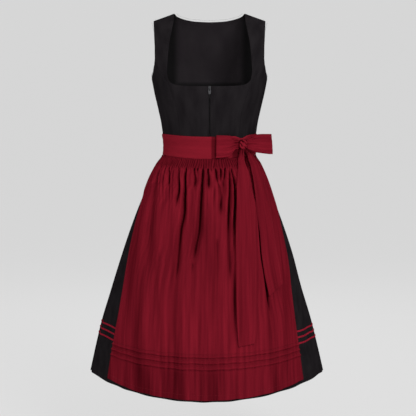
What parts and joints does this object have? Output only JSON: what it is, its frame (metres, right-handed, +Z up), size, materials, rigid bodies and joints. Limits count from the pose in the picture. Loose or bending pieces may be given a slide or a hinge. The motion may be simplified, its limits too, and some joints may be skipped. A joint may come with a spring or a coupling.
{
  "type": "dirndl dress",
  "caption": "Sleeveless dirndl dress with a square neckline, front zip, gathered midi skirt and a gathered apron tied in a side bow.",
  "frame": {"origin": "midway between the shoulders, at the height of the neck points, where the wearer's shoulders hold the dress", "axes": "+Z up, -Y towards the front, +X towards the wearer's left"},
  "size_m": [0.6183, 0.5555, 0.961],
  "materials": {
    "black_cloth": "matt plain weave",
    "red_satin": "soft sheen taffeta",
    "red_ribbon": "satin ribbon",
    "zip_tape": "woven tape and nylon coil",
    "zip_metal": "dark nickel"
  },
  "bodies": {
    "dress": {"bodice_front_left": "black_cloth", "bodice_front_right": "black_cloth", "bodice_side_left": "black_cloth", "bodice_side_right": "black_cloth", "bodice_back": "black_cloth", "skirt_front": "black_cloth", "skirt_back": "black_cloth", "hem_ribbon_top_front": "red_ribbon", "hem_ribbon_middle_front": "red_ribbon", "hem_ribbon_bottom_front": "red_ribbon", "hem_ribbon_top_back": "red_ribbon", "hem_ribbon_middle_back": "red_ribbon", "hem_ribbon_bottom_back": "red_ribbon", "apron_panel": "red_satin", "apron_band": "red_satin", "apron_tie_back": "red_satin", "bow_loop_left": "red_satin", "bow_loop_right": "red_satin", "bow_knot": "red_satin", "tie_end_long": "red_satin", "tie_end_short": "red_satin", "zip_tape": "zip_tape", "zip_coil": "zip_tape", "zip_slider": "zip_metal"},
    "pull_tab": {"zip_pull": "zip_metal"}
  },
  "joints": [
    {"name": "pull_tab_swing", "type": "hinge", "parent": "dress", "child": "pull_tab", "pos_m": [0, -0.129, -0.1982], "axis": [-1, 0, 0], "range_deg": [0, 150]}
  ]
}
